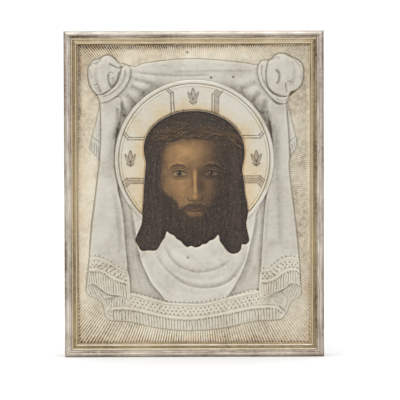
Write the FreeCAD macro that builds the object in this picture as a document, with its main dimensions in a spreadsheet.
"""A small devotional icon in its chased silver cover.

A planed board with two dovetailed battens carries linen, gesso and a painted
layer. A chased sheet with a window for the painted head lies on them. Four
mitred strips frame the sheet and turn down over the board's edges. A halo
plate with a half-round rim is pinned over the sheet, and a ring hangs in an
eye on the back.

Millimetres. The icon stands on its lower edge: X to the right, Z up, and the
front faces -Y. Flat pieces are drawn lying down, x to the right, y up the
icon and z out of its front, and their Placement stands them up.
"""

import FreeCAD, Part
import math
import os

import Sketcher

V = FreeCAD.Vector
Z_AXIS = V(0, 0, 1)
X_AXIS = V(1, 0, 0)

# Driving dimensions, in millimetres
SIZES = {
    # The whole cover, seen from the front
    "cover_wide": 178.0,
    "cover_tall": 223.4,
    # Board, battens and the layers on the board
    "board_deep": 20.0,
    "edge_gap": 0.2,
    "linen_thick": 0.4,
    "gesso_thick": 1.1,
    "paint_thick": 0.25,
    "batten_proud": 4.5,
    "batten_sunk": 6.5,
    "batten_wide": 24.0,
    "batten_flare": 2.0,
    "batten_gap": 0.1,
    # The chased sheet
    "sheet_thick": 0.5,
    "veil_rise": 1.3,
    "drape_rise": 2.3,
    "swag_rise": 1.9,
    "cord_rise": 2.9,
    "cord_wide": 0.9,
    "knot_rise": 4.3,
    "wrap_rise": 3.2,
    "fold_round": 5.0,
    "fold_rise": 1.0,
    "relief_wall": 1.6,
    # The frame strips
    "frame_wide": 9.8,
    "crest_rise": 4.6,
    "strip_thick": 0.5,
    "skirt_deep": 21.5,
    "mitre_gap": 0.06,
    # The halo
    "halo_wide": 109.6,
    "halo_thick": 0.7,
    "seat_rise": 1.5,
    "seat_gap": 0.3,
    "rim_wide": 2.9,
    "rim_rise": 1.3,
    "line_wide": 0.45,
    "line_deep": 0.3,
    # Nails and pins
    "nail_long": 9.0,
    "nail_wide": 0.9,
    "head_wide": 1.7,
    "head_rise": 0.45,
    "nail_seat": 2.4,
    "brad_long": 7.0,
    "brad_wide": 1.1,
    "pin_long": 8.0,
    "pin_wide": 1.0,
    "drive_gap": 0.03,
    # Hanger on the back
    "plate_wide": 24.0,
    "plate_tall": 9.0,
    "plate_thick": 0.8,
    "wire_wide": 1.8,
    "ring_wide": 18.0,
    "eye_gap": 0.35,
    "eye_wall": 0.6,
    "eye_floor": 0.3,
    "eye_wide": 2.4,
    "screw_wide": 1.8,
    "screw_head": 3.4,
    "screw_rise": 0.9,
    "screw_long": 8.0,
    "screw_slot": 0.5,
    # One overrun for every cut
    "overrun": 1.0,
}

doc = FreeCAD.newDocument("icon")
sheet = doc.addObject("Spreadsheet::Sheet", "sizes")
for row, (alias, value) in enumerate(SIZES.items(), start=1):
    sheet.set("A%d" % row, alias)
    sheet.set("B%d" % row, str(value))
    sheet.setAlias("B%d" % row, alias)
doc.recompute()


def number(expression):
    """The plain value of an expression in the sheet's sizes."""
    found = sheet.evalExpression(expression)
    return float(getattr(found, "Value", found))


cell = {alias: number("sizes." + alias) for alias in SIZES}

# Where things lie, as shares of the cover's width from its middle
# and of its height from its lower edge
HALO_SHARES = (0.0015, 0.607)
UPPER_BATTEN_SHARE = 0.82
LOWER_BATTEN_SHARE = 0.18
HANGER_SHARE = 0.66
FIELD_NAIL_SHARES = [(-0.024, 0.935), (0.117, 0.061), (0.248, 0.207)]
SIDE_BRAD_SHARES = [0.12, 0.5, 0.88]
SCREW_SHARES = [-0.36, 0.36]

# What goes with the halo, as shares of the halo's width from its middle
HALO_END_SHARE = -0.3557
HALO_NAIL_SHARES = [
    (-0.0430, -0.6135), (0.1064, 0.5096), (0.2444, 0.5137), (0.2980, 0.4199), (-0.4474, -0.3832),
]
HALO_PIN_SHARES = [(-0.3841, 0.2609), (0.3841, 0.2609), (-0.4279, -0.1773), (0.4279, -0.1773)]

# The window for the painted head, as shares of the halo's width, clockwise
# from the top. Each pair of spans is one arc through its middle point.
WINDOW_SHARES = [
    (0.0041, 0.3017), (0.1600, 0.2670), (0.2655, 0.1855), (0.3061, 0.0978), (0.3078, -0.0204),
    (0.3013, -0.0713), (0.3126, -0.1590), (0.3289, -0.2711), (0.3338, -0.3302), (0.3273, -0.3649),
    (0.3256, -0.4117), (0.3386, -0.4831), (0.3354, -0.5279), (0.3094, -0.5361), (0.2931, -0.5442),
    (0.2672, -0.5891), (0.2282, -0.5911), (0.1795, -0.5483), (0.1583, -0.5035), (0.1437, -0.4790),
    (0.1194, -0.5014), (0.0934, -0.5177), (0.0723, -0.5300), (0.0300, -0.5463), (-0.0024, -0.5483),
    (-0.0447, -0.5483), (-0.0771, -0.5238), (-0.1226, -0.4831), (-0.1730, -0.4505), (-0.1973, -0.5075),
    (-0.2266, -0.5565), (-0.2867, -0.5728), (-0.3419, -0.5626), (-0.3662, -0.5340), (-0.3679, -0.4953),
    (-0.3402, -0.4382), (-0.3289, -0.3954), (-0.3208, -0.2589), (-0.3143, -0.1468), (-0.3045, -0.0550),
    (-0.3126, 0.0265), (-0.3029, 0.1386), (-0.2266, 0.2324), (-0.1242, 0.2874),
]

# The veil's outline, anticlockwise from the left end of the swag
VEIL_SHARES = [
    (-0.246, 0.896), (-0.268, 0.903), (-0.288, 0.906), (-0.302, 0.920), (-0.335, 0.929),
    (-0.352, 0.924), (-0.363, 0.917), (-0.398, 0.905), (-0.409, 0.863), (-0.399, 0.826),
    (-0.376, 0.806), (-0.366, 0.790), (-0.364, 0.775), (-0.378, 0.728), (-0.396, 0.668),
    (-0.402, 0.641), (-0.367, 0.603), (-0.383, 0.495), (-0.403, 0.360), (-0.410, 0.290),
    (-0.419, 0.205), (-0.408, 0.186), (-0.367, 0.170), (-0.350, 0.145), (-0.347, 0.128),
    (-0.336, 0.113), (-0.317, 0.110), (-0.240, 0.104), (-0.185, 0.094), (-0.110, 0.082),
    (-0.020, 0.079), (0.070, 0.082), (0.150, 0.093), (0.227, 0.107), (0.327, 0.111),
    (0.350, 0.123), (0.358, 0.140), (0.370, 0.166), (0.400, 0.179), (0.417, 0.193),
    (0.412, 0.262), (0.403, 0.336), (0.387, 0.452), (0.374, 0.535), (0.369, 0.603),
    (0.398, 0.638), (0.397, 0.668), (0.380, 0.722), (0.363, 0.775), (0.366, 0.794),
    (0.373, 0.810), (0.413, 0.828), (0.426, 0.872), (0.414, 0.908), (0.382, 0.919),
    (0.364, 0.929), (0.338, 0.933), (0.308, 0.926), (0.292, 0.912), (0.268, 0.911),
    (0.246, 0.896), (0.140, 0.910), (-0.004, 0.916), (-0.130, 0.910),
]

# The cloth's raised parts, each drawn the same way
LEFT_FALL_SHARES = [
    (-0.352, 0.772), (-0.372, 0.724), (-0.390, 0.668), (-0.386, 0.628), (-0.361, 0.596),
    (-0.376, 0.500), (-0.396, 0.365), (-0.400, 0.336), (-0.401, 0.308), (-0.340, 0.295),
    (-0.258, 0.262), (-0.266, 0.340), (-0.270, 0.430), (-0.272, 0.560), (-0.274, 0.700),
    (-0.276, 0.760), (-0.280, 0.790), (-0.316, 0.782),
]
RIGHT_FALL_SHARES = [
    (0.352, 0.772), (0.368, 0.724), (0.390, 0.668), (0.386, 0.628), (0.362, 0.596),
    (0.374, 0.500), (0.392, 0.400), (0.400, 0.350), (0.402, 0.308), (0.350, 0.300),
    (0.262, 0.266), (0.260, 0.340), (0.268, 0.470), (0.271, 0.600), (0.270, 0.720),
    (0.268, 0.760), (0.266, 0.786), (0.310, 0.780),
]
LAP_SHARES = [
    (-0.211, 0.322), (-0.200, 0.275), (-0.166, 0.222), (-0.130, 0.190), (-0.092, 0.176),
    (0.000, 0.166), (0.104, 0.177), (0.160, 0.220), (0.200, 0.290), (0.206, 0.318),
    (0.211, 0.345), (0.000, 0.410),
]
SWAG_SHARES = [
    (-0.243, 0.892), (-0.120, 0.906), (0.000, 0.912), (0.130, 0.906), (0.243, 0.892),
    (0.256, 0.840), (0.266, 0.780), (0.000, 0.830), (-0.266, 0.780), (-0.256, 0.840),
]

# Cords laid along the lace, from left to right
CORD_SHARES = [
    [(-0.242, 0.186), (-0.180, 0.173), (-0.112, 0.164), (0.000, 0.160), (0.108, 0.169),
     (0.165, 0.180), (0.212, 0.192)],
    [(-0.320, 0.146), (-0.245, 0.147), (-0.170, 0.134), (-0.085, 0.121), (0.004, 0.118),
     (0.100, 0.130), (0.196, 0.147), (0.270, 0.152), (0.334, 0.143)],
    [(-0.406, 0.299), (-0.350, 0.295), (-0.258, 0.258)],
    [(-0.409, 0.267), (-0.350, 0.261), (-0.260, 0.227)],
    [(0.262, 0.264), (0.323, 0.290), (0.404, 0.298)],
    [(0.258, 0.230), (0.319, 0.246), (0.407, 0.256)],
]

# Folds of the cloth: each bows up out of the face through three points
FOLD_SHARES = [
    [(-0.335, 0.768), (-0.362, 0.540), (-0.377, 0.318)],
    [(-0.308, 0.775), (-0.322, 0.540), (-0.330, 0.306)],
    [(-0.286, 0.752), (-0.292, 0.510), (-0.288, 0.290)],
    [(0.328, 0.768), (0.350, 0.540), (0.370, 0.318)],
    [(0.298, 0.768), (0.316, 0.540), (0.328, 0.306)],
    [(0.280, 0.752), (0.286, 0.510), (0.285, 0.290)],
    [(-0.238, 0.882), (-0.150, 0.876), (-0.020, 0.868)],
    [(0.240, 0.885), (0.168, 0.879), (0.040, 0.868)],
    [(-0.242, 0.850), (-0.205, 0.836), (-0.165, 0.812)],
    [(0.246, 0.850), (0.214, 0.836), (0.186, 0.806)],
    [(-0.165, 0.897), (0.000, 0.902), (0.175, 0.895)],
    [(-0.140, 0.316), (-0.085, 0.248), (0.020, 0.216)],
    [(0.020, 0.214), (0.130, 0.232), (0.198, 0.310)],
    [(-0.070, 0.282), (0.030, 0.264), (0.140, 0.300)],
]

# Knots of the cloth: the middle, then the two half widths
KNOT_SHARES = [(-0.344, 0.866, 0.060, 0.058), (0.360, 0.870, 0.060, 0.056)]
WRAP_SHARES = [(-0.316, 0.848, 0.066, 0.064), (0.320, 0.846, 0.070, 0.062)]

# The strip's section: width from the outer edge and height over the sheet,
# as shares of frame_wide and crest_rise, in arcs through every second point
MOULDING_SHARES = [
    (0.000, 0.50), (0.045, 0.78), (0.150, 0.93), (0.300, 1.00), (0.480, 0.93),
    (0.580, 0.83), (0.640, 0.66), (0.655, 0.60), (0.680, 0.64), (0.740, 0.72),
    (0.800, 0.62), (0.830, 0.50), (0.870, 0.36), (0.885, 0.33), (0.900, 0.36),
    (0.945, 0.42), (1.000, 0.30),
]
# The same strip from behind, before its thickness is taken off
HOLLOW_SHARES = [(0.15, 0.93), (0.30, 0.98), (0.48, 0.92), (0.62, 0.66), (0.80, 0.58), (0.88, 0.36)]

# Lines of the arms of the cross on the halo, each through three points,
# as shares of the halo's width
ARM_SHARES = [
    [(-0.1713, 0.4321), (-0.1454, 0.4097), (-0.1437, 0.3037)],
    [(-0.1583, 0.4362), (-0.1307, 0.4138), (-0.1242, 0.3037)],
    [(0.1405, 0.4362), (0.1129, 0.4036), (0.1129, 0.3037)],
    [(0.1795, 0.4260), (0.1535, 0.3914), (0.1519, 0.2915)],
    [(-0.4393, 0.1753), (-0.4052, 0.1386), (-0.3110, 0.1386)],
    [(-0.4458, 0.1631), (-0.4117, 0.1223), (-0.3208, 0.1223)],
    [(-0.4491, -0.1468), (-0.4215, -0.1182), (-0.3078, -0.1182)],
    [(-0.4296, -0.1773), (-0.4020, -0.1488), (-0.3078, -0.1488)],
    [(0.4247, 0.1753), (0.4036, 0.1468), (0.2931, 0.1468)],
    [(0.4344, 0.1631), (0.4101, 0.1325), (0.3061, 0.1325)],
    [(0.4409, -0.1345), (0.4101, -0.1060), (0.3061, -0.1060)],
    [(0.4198, -0.1773), (0.3938, -0.1488), (0.3094, -0.1488)],
]

# The stack, in sizes, from the plane of the battens' backs forward
REAR = (
    "0.5 * (sizes.batten_proud + sizes.board_deep + sizes.linen_thick + sizes.gesso_thick"
    " + sizes.paint_thick + sizes.sheet_thick + sizes.crest_rise)"
)
BOARD_BACK = REAR + " - sizes.batten_proud"
LINEN_BACK = BOARD_BACK + " - sizes.board_deep"
GESSO_BACK = LINEN_BACK + " - sizes.linen_thick"
PAINT_BACK = GESSO_BACK + " - sizes.gesso_thick"
SHEET_BACK = PAINT_BACK + " - sizes.paint_thick"
SHEET_FRONT = SHEET_BACK + " - sizes.sheet_thick"
SEAT_FRONT = SHEET_FRONT + " - sizes.seat_rise"

MARGIN = "(sizes.strip_thick + sizes.edge_gap)"
BOARD_WIDE = "(sizes.cover_wide - 2 * %s)" % MARGIN
BOARD_TALL = "(sizes.cover_tall - 2 * %s)" % MARGIN

margin = number(MARGIN)
board_wide = number(BOARD_WIDE)
board_tall = number(BOARD_TALL)
halo_middle = V(HALO_SHARES[0] * cell["cover_wide"], HALO_SHARES[1] * cell["cover_tall"], 0)


def spot(share, height=0):
    """A place on the face, drawn lying down, at a height."""
    return V(share[0] * cell["cover_wide"], share[1] * cell["cover_tall"], height)


def halo_spot(share, height=0):
    """A place that goes with the halo, drawn lying down, at a height."""
    return halo_middle + V(share[0] * cell["halo_wide"], share[1] * cell["halo_wide"], height)


def stand(part, back):
    """Stands a piece that is drawn lying down, its back at the given depth."""
    part.Placement = FreeCAD.Placement(V(0, 0, 0), FreeCAD.Rotation(X_AXIS, 90))
    part.setExpression("Placement.Base.y", back)
    return part


def new_body(label):
    made = doc.addObject("PartDesign::Body", label)
    made.Label = label
    return made


def new_sketch(body, name, role="XY_Plane"):
    plane = next(f for f in body.Origin.OriginFeatures if f.Role == role)
    made = body.newObject("Sketcher::SketchObject", name)
    made.AttachmentSupport = (plane, [""])
    made.MapMode = "FlatFace"
    return made


def tie(sketch, first, point, axis, expression):
    """Ties one point of a sketch to an axis at a distance in sizes."""
    where = number(expression)
    if where == 0:
        line = {"DistanceX": -2, "DistanceY": -1}[axis]
        sketch.addConstraint(Sketcher.Constraint("PointOnObject", first, point, line))
        return
    made = sketch.addConstraint(Sketcher.Constraint(axis, -1, 1, first, point, where))
    sketch.setExpression("Constraints[%d]" % made, expression)


def polygon(sketch, corners):
    """A closed outline, each corner given as two expressions."""
    places = [V(number(x), number(y), 0) for x, y in corners]
    first = sketch.GeometryCount
    count = len(places)
    for i in range(count):
        sketch.addGeometry(Part.LineSegment(places[i], places[(i + 1) % count]))
    for i in range(count):
        following = first + (i + 1) % count
        sketch.addConstraint(Sketcher.Constraint("Coincident", first + i, 2, following, 1))
    for i, (x, y) in enumerate(corners):
        tie(sketch, first + i, 1, "DistanceX", x)
        tie(sketch, first + i, 1, "DistanceY", y)


def board_outline(sketch):
    """The rectangle that the board and every layer on it share."""
    left, right = "-0.5 * " + BOARD_WIDE, "0.5 * " + BOARD_WIDE
    low, high = MARGIN, "sizes.cover_tall - " + MARGIN
    polygon(sketch, [(left, low), (right, low), (right, high), (left, high)])


def circles(sketch, places, diameter):
    """Circles of one size; each place is two expressions."""
    radius = number(diameter) / 2
    for x, y in places:
        made = sketch.addGeometry(Part.Circle(V(number(x), number(y), 0), Z_AXIS, radius))
        tie(sketch, made, 3, "DistanceX", x)
        tie(sketch, made, 3, "DistanceY", y)
        size = sketch.addConstraint(Sketcher.Constraint("Diameter", made, 2 * radius))
        sketch.setExpression("Constraints[%d]" % size, diameter)


def pad(body, sketch, thick, name="thickness"):
    made = body.newObject("PartDesign::Pad", name)
    made.Profile = sketch
    made.Type = "Length"
    made.setExpression("Length", thick)
    sketch.Visibility = False
    return made


def pocket(body, sketch, deep, name, reverse=False, both_ways=False):
    """Cuts a sketch out of a body and checks that it took something away."""
    doc.recompute()
    before = body.Shape.Volume
    made = body.newObject("PartDesign::Pocket", name)
    made.Profile = sketch
    made.Type = "Length"
    made.Reversed = reverse
    made.Midplane = both_ways
    made.setExpression("Length", deep)
    doc.recompute()
    if body.Shape.Volume >= before:
        raise RuntimeError(body.Label + ": " + name + " cut nothing")
    return made


def share_places(shares):
    """Shares of the face as pairs of expressions."""
    return [("%g * sizes.cover_wide" % x, "%g * sizes.cover_tall" % y) for x, y in shares]


def halo_places(shares):
    """Shares of the halo's width from its middle as pairs of expressions."""
    (middle_x, middle_y), = share_places([HALO_SHARES])
    return [("%s + %g * sizes.halo_wide" % (middle_x, x), "%s + %g * sizes.halo_wide" % (middle_y, y))
            for x, y in shares]


def nailed_layer(label, thick, back):
    """A layer as large as the board, with the nails' and pins' holes."""
    body = new_body(label)
    face = new_sketch(body, label + "_face")
    board_outline(face)
    pad(body, face, thick)
    holes = new_sketch(body, label + "_nail_holes")
    nails = share_places(FIELD_NAIL_SHARES) + halo_places(HALO_NAIL_SHARES)
    circles(holes, nails, "sizes.nail_wide + 2 * sizes.drive_gap")
    circles(holes, halo_places(HALO_PIN_SHARES), "sizes.pin_wide + 2 * sizes.drive_gap")
    pocket(body, holes, "2 * (%s + sizes.overrun)" % thick, "nail_holes", both_ways=True)
    return stand(body, back)


def make_board():
    """The board: nail holes in front and edges, grooves and screw holes behind."""
    body = new_body("wooden_panel")
    face = new_sketch(body, "panel_face")
    board_outline(face)
    pad(body, face, "sizes.board_deep")

    # Dovetail grooves, open at both edges
    for label, share in battens():
        groove = new_sketch(body, label + "_groove", "YZ_Plane")
        polygon(groove, groove_section("%g * sizes.cover_tall" % share))
        pocket(body, groove, BOARD_WIDE + " + 2 * sizes.overrun", label + "_cut", both_ways=True)

    # Holes drilled by the nails and pins, and by the hanger's screws
    nails = share_places(FIELD_NAIL_SHARES) + halo_places(HALO_NAIL_SHARES)
    for name, places, wide, long in (
        ("nails", nails, "sizes.nail_wide", "sizes.nail_long"),
        ("pins", halo_places(HALO_PIN_SHARES), "sizes.pin_wide", "sizes.pin_long"),
    ):
        drilled = new_sketch(body, name + "_drilled")
        circles(drilled, places, wide + " + 2 * sizes.drive_gap")
        drilled.setExpression("AttachmentOffset.Base.z", "sizes.board_deep")
        pocket(body, drilled, long, name + "_holes")
    screws = new_sketch(body, "screws_drilled")
    circles(screws, screw_places(), "sizes.screw_wide + 2 * sizes.drive_gap")
    pocket(body, screws, "sizes.screw_long", "screw_holes", reverse=True)

    # Holes in the four edges for the brads
    level = "sizes.board_deep / 2"
    side_places = [("%g * sizes.cover_tall" % share, level) for share in SIDE_BRAD_SHARES]
    end_places = [("%g * sizes.cover_wide" % share, level) for share in end_brad_shares()]
    for name, role, places, edge_at in (
        ("left", "YZ_Plane", side_places, "-0.5 * " + BOARD_WIDE),
        ("right", "YZ_Plane", side_places, "0.5 * " + BOARD_WIDE),
        ("lower", "XZ_Plane", end_places, "-" + MARGIN),
        ("upper", "XZ_Plane", end_places, "-(sizes.cover_tall - %s)" % MARGIN),
    ):
        edge = new_sketch(body, name + "_edge_drilled", role)
        circles(edge, places, "sizes.brad_wide + 2 * sizes.drive_gap")
        edge.setExpression("AttachmentOffset.Base.z", edge_at)
        deep = "2 * (sizes.brad_long + sizes.overrun)"
        pocket(body, edge, deep, name + "_edge_holes", both_ways=True)
    return stand(body, BOARD_BACK)


def end_brad_shares():
    """Where the brads of the upper and lower edges lie across the width."""
    return [share - SIDE_BRAD_SHARES[1] for share in SIDE_BRAD_SHARES]


def battens():
    """Each batten's label and the share of the height that its middle is at."""
    return [("upper_batten", UPPER_BATTEN_SHARE), ("lower_batten", LOWER_BATTEN_SHARE)]


def groove_section(middle):
    """A dovetail groove: how far up the board, then how deep from its back."""
    mouth = "(sizes.batten_wide / 2 - sizes.batten_flare + sizes.batten_gap)"
    root = "(sizes.batten_wide / 2 + sizes.batten_gap)"
    deep = "sizes.batten_sunk + sizes.batten_gap"
    # The sides run on at the same slope past the board's back
    start = "(%s - sizes.batten_flare * sizes.overrun / sizes.batten_sunk)" % mouth
    return [
        ("%s - %s" % (middle, start), "-sizes.overrun"), ("%s + %s" % (middle, start), "-sizes.overrun"),
        ("%s + %s" % (middle, root), deep), ("%s - %s" % (middle, root), deep),
    ]


def make_battens():
    """Dovetailed battens, a little shorter than the board is wide."""
    for label, share in battens():
        body = new_body(label)
        section = new_sketch(body, label + "_section", "YZ_Plane")
        middle = "%g * sizes.cover_tall" % share
        mouth = "(sizes.batten_wide / 2 - sizes.batten_flare)"
        root = "sizes.batten_wide / 2"
        polygon(section, [
            ("%s - %s" % (middle, mouth), "-sizes.batten_proud"),
            ("%s + %s" % (middle, mouth), "-sizes.batten_proud"),
            ("%s + %s" % (middle, mouth), "0"), ("%s + %s" % (middle, root), "sizes.batten_sunk"),
            ("%s - %s" % (middle, root), "sizes.batten_sunk"), ("%s - %s" % (middle, mouth), "0"),
        ])
        length = pad(body, section, BOARD_WIDE + " - 2 * sizes.edge_gap", "length")
        length.Midplane = True
        stand(body, BOARD_BACK)


def arc_wire(points):
    """A closed wire of arcs, each through three points; straight where they line up."""
    edges = []
    count = len(points)
    for i in range(0, count, 2):
        a, b, c = points[i], points[i + 1], points[(i + 2) % count]
        bend = (b - a).cross(c - b).Length / ((b - a).Length * (c - b).Length)
        if bend < math.radians(1):
            edges += [Part.makeLine(a, b), Part.makeLine(b, c)]
        else:
            edges.append(Part.Arc(a, b, c).toShape())
    return Part.Wire(edges)


def prism(shares, low, high, place=spot):
    """An outline on the face, raised from one height to another."""
    face = Part.Face(arc_wire([place(share, low) for share in shares]))
    return face.extrude(V(0, 0, high - low))


def cord(shares, high):
    """A flat cord on the face: the line, then the same line a cord's width lower."""
    drop = V(0, cell["cord_wide"], 0)
    line = [spot(share) for share in shares]
    lower = [point - drop for point in reversed(line)]
    edges = []
    for run in (line, lower):
        edges += [Part.Arc(*run[i:i + 3]).toShape() for i in range(0, len(run) - 2, 2)]
        ends = (run[-1], lower[0] if run is line else line[0])
        edges.append(Part.makeLine(*ends))
    return Part.Face(Part.Wire(edges)).extrude(V(0, 0, high))


def fold(shares, base):
    """A fold that bows up out of the face at its middle and sinks in at its ends."""
    full, rise = cell["fold_round"], cell["fold_rise"]
    levels = (base - full, base - full + rise, base - full)
    points = [spot(share, level) for share, level in zip(shares, levels)]
    path = Part.Arc(*points).toShape()
    start = path.tangentAt(path.FirstParameter)
    section = Part.Wire(Part.makeCircle(full, points[0], start))
    return Part.Wire(path).makePipeShell([section], True, True)


def dome(shares, base, high):
    """Half an ellipsoid on the face: its middle and half widths in shares."""
    half_wide, half_tall = shares[2] * cell["cover_wide"], shares[3] * cell["cover_tall"]
    stretch = FreeCAD.Matrix()
    stretch.scale(half_wide, half_tall, high - base)
    ball = Part.makeSphere(1).transformGeometry(stretch)
    ball.translate(spot(shares, base))
    return ball


def make_sheet():
    """The chased sheet: ground, veil, folds, knots and the halo's seat, hollow behind."""
    thick = cell["sheet_thick"]
    front = {name: thick + cell[name] for name in
             ("veil_rise", "drape_rise", "swag_rise", "cord_rise", "knot_rise", "wrap_rise", "seat_rise")}
    over = cell["overrun"]
    ground = Part.makeBox(board_wide, board_tall, thick, V(-board_wide / 2, margin, 0))
    veil = prism(VEIL_SHARES, 0, front["veil_rise"])
    raised = [prism(shares, 0, front["drape_rise"])
              for shares in (LEFT_FALL_SHARES, RIGHT_FALL_SHARES, LAP_SHARES)]
    raised.append(prism(SWAG_SHARES, 0, front["swag_rise"]))
    raised += [cord(shares, front["cord_rise"]) for shares in CORD_SHARES]
    raised += [fold(shares, front["drape_rise"]) for shares in FOLD_SHARES]
    raised += [dome(shares, front["veil_rise"], front["wrap_rise"]) for shares in WRAP_SHARES]
    raised += [dome(shares, front["veil_rise"], front["knot_rise"]) for shares in KNOT_SHARES]
    relief = veil.multiFuse(raised)
    # Nothing of the relief reaches behind the sheet or past the veil's outline
    relief = relief.common(prism(VEIL_SHARES, 0, front["knot_rise"] + over))

    halo_round = cell["halo_wide"] / 2 + cell["seat_gap"]
    seat = Part.makeCylinder(halo_round, front["seat_rise"], halo_middle)
    sheet_solid = ground.fuse([relief, seat])
    above_seat = Part.makeCylinder(halo_round, front["knot_rise"] + over,
                                   halo_middle + V(0, 0, front["seat_rise"]))
    below_ends = Part.makeBox(2 * halo_round, halo_round + over, front["knot_rise"] * 2,
                              halo_spot((0, HALO_END_SHARE)) - V(halo_round, halo_round + over, 0))
    cuts = [above_seat.cut(below_ends)]
    cuts.append(prism(WINDOW_SHARES, -over, front["knot_rise"] + over, halo_spot))

    # Behind the veil the sheet is hollow
    hollow = Part.Face(arc_wire([spot(share, -over) for share in VEIL_SHARES]))
    hollow = hollow.makeOffset2D(-cell["relief_wall"]).extrude(V(0, 0, over + cell["veil_rise"]))
    around = Part.Face(arc_wire([halo_spot(share, -over) for share in WINDOW_SHARES]))
    around = around.makeOffset2D(cell["relief_wall"]).extrude(V(0, 0, 2 * over + cell["veil_rise"]))
    cuts.append(hollow.cut(around))

    # Flat seats round the nails' heads, and holes for nails and pins
    for seat_at in nail_heads():
        cuts.append(Part.makeCylinder(cell["nail_seat"] / 2, front["knot_rise"] + over, seat_at))
    holes = []
    pins = [halo_spot(share) for share in HALO_PIN_SHARES]
    for places, wide in ((nail_heads(), cell["nail_wide"]), (pins, cell["pin_wide"])):
        for place in places:
            holes.append(Part.makeCylinder(wide / 2 + cell["drive_gap"], front["knot_rise"] + 2 * over,
                                           V(place.x, place.y, -over)))
    made = doc.addObject("Part::Feature", "oklad_sheet")
    made.Label = "oklad_sheet"
    made.Shape = sheet_solid.cut(cuts + holes).removeSplitter()
    return stand(made, SHEET_BACK)


def nail_heads():
    """The places under the nails' heads: on the field and veil, then round the halo."""
    field = cell["sheet_thick"]
    veil, swag, drape = [field + cell[name] for name in ("veil_rise", "swag_rise", "drape_rise")]
    heads = [spot(*pair) for pair in zip(FIELD_NAIL_SHARES, (field, field, veil))]
    return heads + [halo_spot(*pair) for pair in zip(HALO_NAIL_SHARES, (drape, swag, swag, swag, veil))]


def moulding_section(body):
    """The pressed strip's section on the body's YZ plane: inward, then outward."""
    wide, crest = cell["frame_wide"], cell["crest_rise"]
    thick, skirt = cell["strip_thick"], cell["skirt_deep"]
    outer = [V(u * wide, w * crest, 0) for u, w in MOULDING_SHARES]
    inner = [V(u * wide, w * crest - thick, 0) for u, w in reversed(HOLLOW_SHARES)]
    foot = [V(wide, 0, 0), V(wide - thick, 0, 0)]
    side = [V(thick, outer[0].y, 0), V(thick, -skirt, 0), V(0, -skirt, 0)]
    section = new_sketch(body, "section", "YZ_Plane")
    for i in range(0, len(outer) - 2, 2):
        section.addGeometry(Part.Arc(*outer[i:i + 3]))
    line = [outer[-1]] + foot + inner + side + [outer[0]]
    for a, b in zip(line, line[1:]):
        section.addGeometry(Part.LineSegment(a, b))
    return section


def make_strips():
    """Four frame strips with mitred ends and a skirt over the board's edge."""
    over = "(sizes.frame_wide + sizes.overrun)"
    for label, length, turn, x, z in (
        ("frame_strip_bottom", "sizes.cover_wide", 0, "0", "0"),
        ("frame_strip_top", "sizes.cover_wide", 180, "0", "sizes.cover_tall"),
        ("frame_strip_left", "sizes.cover_tall", -90, "-sizes.cover_wide / 2", "sizes.cover_tall / 2"),
        ("frame_strip_right", "sizes.cover_tall", 90, "sizes.cover_wide / 2", "sizes.cover_tall / 2"),
    ):
        body = new_body(label)
        run = pad(body, moulding_section(body), length, "run")
        run.Midplane = True
        mitres = new_sketch(body, label + "_mitres")
        for side in ("-", ""):
            end = "%s(%s / 2 - sizes.mitre_gap)" % (side, length)
            into = "%s(%s / 2 - sizes.mitre_gap - %s)" % (side, length, over)
            past = "%s(%s / 2 + sizes.overrun)" % (side, length)
            polygon(mitres, [(end, "0"), (into, over), (past, over), (past, "0")])
        pocket(body, mitres, "2 * (sizes.skirt_deep + sizes.crest_rise + sizes.overrun)", "mitre_cut",
               both_ways=True)
        holes = new_sketch(body, label + "_brad_holes", "XZ_Plane")
        places = [("%g * %s" % (share, length), BRAD_LEVEL) for share in end_brad_shares()]
        circles(holes, places, "sizes.brad_wide + 2 * sizes.drive_gap")
        pocket(body, holes, "2 * (sizes.strip_thick + sizes.overrun)", "brad_holes", both_ways=True)
        stand_up = FreeCAD.Rotation(X_AXIS, 90)
        body.Placement = FreeCAD.Placement(V(0, 0, 0), stand_up * FreeCAD.Rotation(Z_AXIS, turn))
        for axis, where in (("x", x), ("y", SHEET_FRONT), ("z", z)):
            body.setExpression("Placement.Base." + axis, where)


# The brads' level on the strips, from the sheet's front back to the board's mid depth
BRAD_LEVEL = ("-(sizes.sheet_thick + sizes.paint_thick + sizes.gesso_thick + sizes.linen_thick"
              " + sizes.board_deep / 2)")


def trim_halo(blank):
    """Takes the window and the part below the halo's ends off a blank."""
    over = cell["overrun"]
    box = blank.BoundBox
    end = halo_spot((0, HALO_END_SHARE)).y
    below = Part.makeBox(box.XLength + 2 * over, end - box.YMin + over, box.ZLength + 2 * over,
                         V(box.XMin - over, box.YMin - over, box.ZMin - over))
    window = prism(WINDOW_SHARES, box.ZMin - over, box.ZMax + over, halo_spot)
    return blank.cut([below, window])


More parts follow.
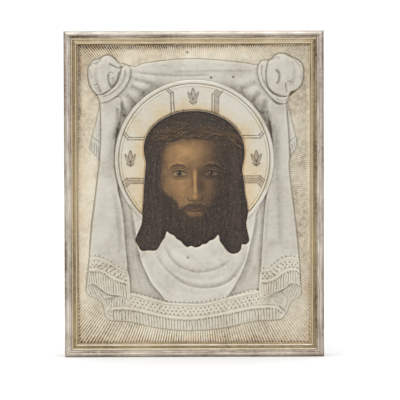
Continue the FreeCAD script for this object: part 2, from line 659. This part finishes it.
def make_halo():
    """The halo plate with the lines of its cross, and the half-round rim on its edge."""
    outer = cell["halo_wide"] / 2
    thick, rise = cell["halo_thick"], cell["rim_rise"]
    plate = trim_halo(Part.makeCylinder(outer, thick, halo_middle))
    lines = []
    for shares in ARM_SHARES:
        points = [halo_spot(share, thick) for share in shares]
        for a, b in zip(points, points[1:]):
            along = b - a
            groove = Part.makeBox(along.Length, cell["line_wide"], 2 * cell["line_deep"],
                                  V(0, -cell["line_wide"] / 2, -cell["line_deep"]))
            groove.Placement = FreeCAD.Placement(a, FreeCAD.Rotation(X_AXIS, along))
            lines.append(groove)
    made = doc.addObject("Part::Feature", "halo_plate")
    made.Label = "halo_plate"
    made.Shape = plate.cut(lines).removeSplitter()
    stand(made, SEAT_FRONT)

    middle = outer - cell["rim_wide"] / 2
    half = cell["rim_wide"] / 2
    low, high = V(middle - half, 0, 0), V(middle + half, 0, 0)
    bow = Part.Arc(low, V(middle, 0, rise), high).toShape()
    section = Part.Face(Part.Wire([bow, Part.makeLine(high, low)]))
    ring = section.revolve(V(0, 0, 0), Z_AXIS, 360)
    ring.translate(halo_middle)
    rim = doc.addObject("Part::Feature", "halo_rim")
    rim.Label = "halo_rim"
    rim.Shape = trim_halo(ring)
    stand(rim, SEAT_FRONT + " - sizes.halo_thick")

    # Wire pins soldered behind the plate, through the sheet into the board
    reach = cell["seat_rise"] + cell["sheet_thick"] + cell["paint_thick"] + cell["gesso_thick"]
    reach += cell["linen_thick"]
    pins = [Part.makeCylinder(cell["pin_wide"] / 2, reach + cell["pin_long"] - cell["overrun"],
                              halo_spot(share), -Z_AXIS) for share in HALO_PIN_SHARES]
    group = doc.addObject("Part::Feature", "halo_pins")
    group.Label = "halo_pins"
    group.Shape = Part.Compound(pins)
    stand(group, SEAT_FRONT)


def make_nails():
    """Small domed nails through the sheet, and brads flush in the skirts."""
    thin = cell["nail_wide"] / 2
    wide, rise = cell["head_wide"] / 2, cell["head_rise"]
    under = cell["paint_thick"] + cell["gesso_thick"] + cell["linen_thick"]
    nails = []
    for head in nail_heads():
        foot = -(head.z + under + cell["nail_long"] - cell["overrun"])
        side = [V(0, 0, foot), V(thin, 0, foot + 2 * thin), V(thin, 0, 0), V(wide, 0, 0)]
        bulge = (wide ** 2 + rise ** 2) / (2 * rise)
        lean = math.asin(wide / bulge) / 2
        crown = V(bulge * math.sin(lean), 0, rise - bulge + bulge * math.cos(lean))
        top = Part.Arc(V(wide, 0, 0), crown, V(0, 0, rise))
        edges = [Part.makeLine(a, b) for a, b in zip(side, side[1:])]
        edges += [top.toShape(), Part.makeLine(V(0, 0, rise), side[0])]
        nail = Part.Face(Part.Wire(edges)).revolve(V(0, 0, 0), Z_AXIS, 360)
        nail.translate(head)
        nails.append(nail)
    made = doc.addObject("Part::Feature", "field_nails")
    made.Label = "field_nails"
    made.Shape = Part.Compound(nails)
    stand(made, SHEET_BACK)

    level = cell["board_deep"] / 2
    side_x, top_y = cell["cover_wide"] / 2, cell["cover_tall"]
    starts = [(V(side * side_x, share * top_y, level), V(-side, 0, 0))
              for side in (-1, 1) for share in SIDE_BRAD_SHARES]
    starts += [(V(share * cell["cover_wide"], y, level), V(0, way, 0))
               for y, way in ((0, 1), (top_y, -1)) for share in end_brad_shares()]
    brads = [Part.makeCylinder(cell["brad_wide"] / 2, cell["brad_long"], start, way)
             for start, way in starts]
    group = doc.addObject("Part::Feature", "edge_brads")
    group.Label = "edge_brads"
    group.Shape = Part.Compound(brads)
    stand(group, BOARD_BACK)


def screw_places():
    """The hanger's two screws, as expressions."""
    return [("%g * sizes.plate_wide" % share, "%g * sizes.cover_tall" % HANGER_SHARE)
            for share in SCREW_SHARES]


def make_hanger():
    """A screwed plate with an eye, and the ring that hangs in it."""
    level = "%g * sizes.cover_tall" % HANGER_SHARE
    plate = new_body("hanger_plate")
    outline = new_sketch(plate, "plate_outline")
    wide, tall = "sizes.plate_wide / 2", "sizes.plate_tall / 2"
    cut = "sizes.plate_tall / 4"
    corners = []
    for across, up in ((1, 1), (-1, 1), (-1, -1), (1, -1)):
        side = ("%d * (%s)" % (across, wide), "%s + %d * (%s - %s)" % (level, up, tall, cut))
        end = ("%d * (%s - %s)" % (across, wide, cut), "%s + %d * (%s)" % (level, up, tall))
        corners += [side, end] if across == up else [end, side]
    polygon(outline, corners)
    thickness = pad(plate, outline, "sizes.plate_thick")
    thickness.Reversed = True
    holes = new_sketch(plate, "plate_holes")
    circles(holes, screw_places(), "sizes.screw_wide + 2 * sizes.drive_gap")
    pocket(plate, holes, "2 * (sizes.plate_thick + sizes.overrun)", "screw_holes", both_ways=True)
    stand(plate, BOARD_BACK)

    # The eye: a strap bent over the ring's wire and brazed to the plate
    away = "(sizes.plate_thick + sizes.eye_floor + sizes.eye_gap + sizes.wire_wide / 2)"
    bore = "(sizes.wire_wide + 2 * sizes.eye_gap)"
    barrel = doc.addObject("Part::Cylinder", "eye_barrel")
    barrel.setExpression("Radius", "%s / 2 + sizes.eye_wall" % bore)
    barrel.setExpression("Height", "sizes.eye_wide")
    hole = doc.addObject("Part::Cylinder", "eye_hole")
    hole.setExpression("Radius", "%s / 2" % bore)
    hole.setExpression("Height", "sizes.eye_wide + 2 * sizes.overrun")
    for piece, start in ((barrel, "-sizes.eye_wide / 2"), (hole, "-sizes.eye_wide / 2 - sizes.overrun")):
        piece.Placement = FreeCAD.Placement(V(0, 0, 0), FreeCAD.Rotation(V(0, 1, 0), 90))
        piece.setExpression("Placement.Base.x", start)
        piece.setExpression("Placement.Base.y", BOARD_BACK + " + " + away)
        piece.setExpression("Placement.Base.z", level)
    legs = doc.addObject("Part::Box", "eye_legs")
    legs.setExpression("Length", "sizes.eye_wide")
    legs.setExpression("Width", away + " - sizes.plate_thick")
    legs.setExpression("Height", bore + " + 2 * sizes.eye_wall")
    legs.setExpression("Placement.Base.x", "-sizes.eye_wide / 2")
    legs.setExpression("Placement.Base.y", BOARD_BACK + " + sizes.plate_thick")
    legs.setExpression("Placement.Base.z", "%s - %s / 2 - sizes.eye_wall" % (level, bore))
    behind = doc.addObject("Part::Box", "eye_behind")
    behind.setExpression("Length", "sizes.eye_wide + 2 * sizes.overrun")
    behind.setExpression("Width", "sizes.plate_tall")
    behind.setExpression("Height", "sizes.plate_tall")
    behind.setExpression("Placement.Base.x", "-sizes.eye_wide / 2 - sizes.overrun")
    behind.setExpression("Placement.Base.y", BOARD_BACK + " + sizes.plate_thick")
    behind.setExpression("Placement.Base.z", "%s - sizes.plate_tall / 2" % level)
    strap = doc.addObject("Part::MultiFuse", "eye_strap")
    strap.Shapes = [barrel, legs]
    kept = doc.addObject("Part::MultiCommon", "eye_kept")
    kept.Shapes = [strap, behind]
    eye = doc.addObject("Part::Cut", "hanger_eye")
    eye.Label = "hanger_eye"
    eye.Base, eye.Tool = kept, hole

    ring = doc.addObject("Part::Torus", "hanging_ring")
    ring.Label = "hanging_ring"
    ring.setExpression("Radius1", "(sizes.ring_wide - sizes.wire_wide) / 2")
    ring.setExpression("Radius2", "sizes.wire_wide / 2")
    ring.Placement = FreeCAD.Placement(V(0, 0, 0), FreeCAD.Rotation(X_AXIS, 90))
    ring.setExpression("Placement.Base.y", BOARD_BACK + " + " + away)
    ring.setExpression("Placement.Base.z", level + " - (sizes.ring_wide - sizes.wire_wide) / 2")

    # Two slotted screws through the plate into the board
    screws = []
    thin, wide = cell["screw_wide"] / 2, cell["screw_head"] / 2
    rise, over = cell["screw_rise"], cell["overrun"]
    for share in SCREW_SHARES:
        length = cell["screw_long"] - over
        shank = Part.makeCylinder(thin, cell["plate_thick"] + length, V(0, 0, -cell["plate_thick"]))
        head = Part.makeCylinder(wide, rise, V(0, 0, -cell["plate_thick"] - rise))
        slot = Part.makeBox(2 * wide, cell["screw_slot"], rise,
                            V(-wide, -cell["screw_slot"] / 2, -cell["plate_thick"] - 1.5 * rise))
        screw = shank.fuse(head).cut(slot)
        screw.translate(V(share * cell["plate_wide"], HANGER_SHARE * cell["cover_tall"], 0))
        screws.append(screw)
    group = doc.addObject("Part::Feature", "hanger_screws")
    group.Label = "hanger_screws"
    group.Shape = Part.Compound(screws)
    stand(group, BOARD_BACK)


NODES = [
    "wooden_panel", "upper_batten", "lower_batten", "linen_layer", "gesso_ground", "paint_layer",
    "oklad_sheet", "frame_strip_top", "frame_strip_bottom", "frame_strip_left", "frame_strip_right",
    "halo_plate", "halo_rim", "halo_pins", "field_nails", "edge_brads",
    "hanger_plate", "hanger_eye", "hanging_ring", "hanger_screws",
]


def main():
    make_board()
    make_battens()
    nailed_layer("linen_layer", "sizes.linen_thick", LINEN_BACK)
    nailed_layer("gesso_ground", "sizes.gesso_thick", GESSO_BACK)
    nailed_layer("paint_layer", "sizes.paint_thick", PAINT_BACK)
    make_sheet()
    make_strips()
    make_halo()
    make_nails()
    make_hanger()
    doc.recompute()

    for part in doc.Objects:
        if {"Invalid", "Error"} & set(part.State):
            raise RuntimeError(part.Label + " failed: " + ", ".join(part.State))
    os.makedirs("parts", exist_ok=True)
    for node in NODES:
        part = doc.getObjectsByLabel(node)[0]
        if part.Shape.isNull() or not part.Shape.isValid():
            raise RuntimeError(node + " has no valid shape")
        part.Shape.exportStep("parts/" + node + ".step")
        box = part.Shape.BoundBox
        print("%-20s %2d solids %9.1f mm3  x %.2f %.2f  y %.2f %.2f  z %.2f %.2f" % (
            node, len(part.Shape.Solids), part.Shape.Volume,
            box.XMin, box.XMax, box.YMin, box.YMax, box.ZMin, box.ZMax))


main()
